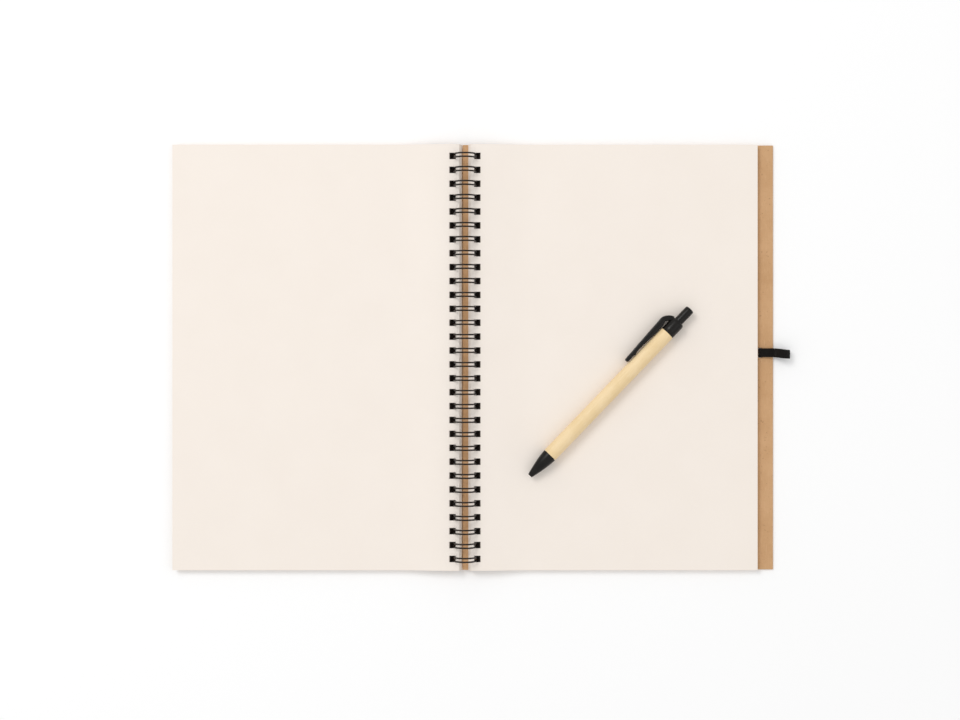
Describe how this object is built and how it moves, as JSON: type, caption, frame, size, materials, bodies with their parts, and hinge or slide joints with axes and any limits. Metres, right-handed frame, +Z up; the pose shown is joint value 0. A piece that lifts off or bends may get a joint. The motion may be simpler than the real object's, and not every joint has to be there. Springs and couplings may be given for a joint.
{
  "type": "spiral sketchbook",
  "caption": "Open wire-bound sketchbook with blank cream leaves, kraft card covers, an elastic pen loop and a kraft-barrelled click pen.",
  "frame": {"origin": "on the table, under the middle of the open book with its pen loop", "axes": "+X across the pages towards the pen loop, +Y up the pages along the wire, +Z up from the table"},
  "size_m": [0.3776, 0.26, 0.0145],
  "materials": {
    "cream_paper": "smooth uncoated cream drawing paper",
    "kraft_card": "brown kraft card with fine fibres, matt",
    "kraft_tube": "pale kraft paper wound tube, satin",
    "bronze_wire": "dark bronze coated wire, semi-gloss",
    "black_elastic": "black woven elastic, matt with fine ribs",
    "black_plastic": "black moulded plastic, semi-gloss",
    "ink_tube": "translucent refill tube",
    "brass_point": "turned brass",
    "spring_steel": "plain spring wire"
  },
  "bodies": {
    "book": {"back_cover": "kraft_card", "twin_loop_wire": "bronze_wire", "right_leaf_block": "cream_paper", "right_leaf_1": "cream_paper", "pen_loop_tail": "black_elastic"},
    "front_cover": {"front_cover": "kraft_card"},
    "left_leaf_1": {"left_leaf_1": "cream_paper"},
    "left_leaf_2": {"left_leaf_2": "cream_paper"},
    "left_leaf_3": {"left_leaf_3": "cream_paper"},
    "left_leaf_block": {"left_leaf_block": "cream_paper"},
    "pen_loop": {"pen_loop": "black_elastic"},
    "pen": {"pen_nose_cone": "black_plastic", "pen_barrel": "kraft_tube", "pen_cap_clip": "black_plastic", "pen_spring": "spring_steel"},
    "pen_button": {"pen_push_button": "black_plastic"},
    "pen_refill": {"pen_thrust_cam": "black_plastic", "pen_ink_tube": "ink_tube", "pen_ball_point": "brass_point"}
  },
  "joints": [
    {"name": "front_cover_close", "type": "hinge", "parent": "book", "child": "front_cover", "pos_m": [-0.00995, 0, 0.0073], "axis": [0, 1, 0], "range_deg": [0, 167]},
    {"name": "left_leaf_1_turn", "type": "hinge", "parent": "front_cover", "child": "left_leaf_1", "pos_m": [-0.00995, 0, 0.0073], "axis": [0, -1, 0], "range_deg": [-160, 0]},
    {"name": "left_leaf_2_turn", "type": "hinge", "parent": "front_cover", "child": "left_leaf_2", "pos_m": [-0.00995, 0, 0.0073], "axis": [0, -1, 0], "range_deg": [-144.5, 0]},
    {"name": "left_leaf_3_turn", "type": "hinge", "parent": "front_cover", "child": "left_leaf_3", "pos_m": [-0.00995, 0, 0.0073], "axis": [0, -1, 0], "range_deg": [-128.5, 0]},
    {"name": "left_leaf_block_turn", "type": "hinge", "parent": "front_cover", "child": "left_leaf_block", "pos_m": [-0.00995, 0, 0.0073], "axis": [0, -1, 0], "range_deg": [-80.5, 0]},
    {"name": "pen_loop_swing", "type": "hinge", "parent": "book", "child": "pen_loop", "pos_m": [0.17922, 0.0029, 0.00287], "axis": [0, -1, 0], "range_deg": [0, 80], "stiffness_Nm_per_rad": 0.002},
    {"name": "pen_slide_off", "type": "slide", "parent": "book", "child": "pen", "axis": [1, 0, 0], "range_m": [0, 0.21]},
    {"name": "pen_click", "type": "slide", "parent": "pen", "child": "pen_button", "axis": [-0.6934, -0.7206, 0], "range_m": [0, 0.0045], "stiffness_N_per_m": 200, "springref_m": -0.002},
    {"name": "pen_refill_feed", "type": "slide", "parent": "pen", "child": "pen_refill", "axis": [-0.6934, -0.7206, 0], "range_m": [0, 0.0046], "deforming": ["pen_spring"]}
  ],
  "couplings": [
    {"joint": "left_leaf_2_turn", "follows": "left_leaf_1_turn", "ratio": 0.9},
    {"joint": "left_leaf_3_turn", "follows": "left_leaf_1_turn", "ratio": 0.8},
    {"joint": "left_leaf_block_turn", "follows": "left_leaf_1_turn", "ratio": 0.5},
    {"joint": "pen_refill_feed", "follows": "pen_click", "ratio": 1}
  ]
}
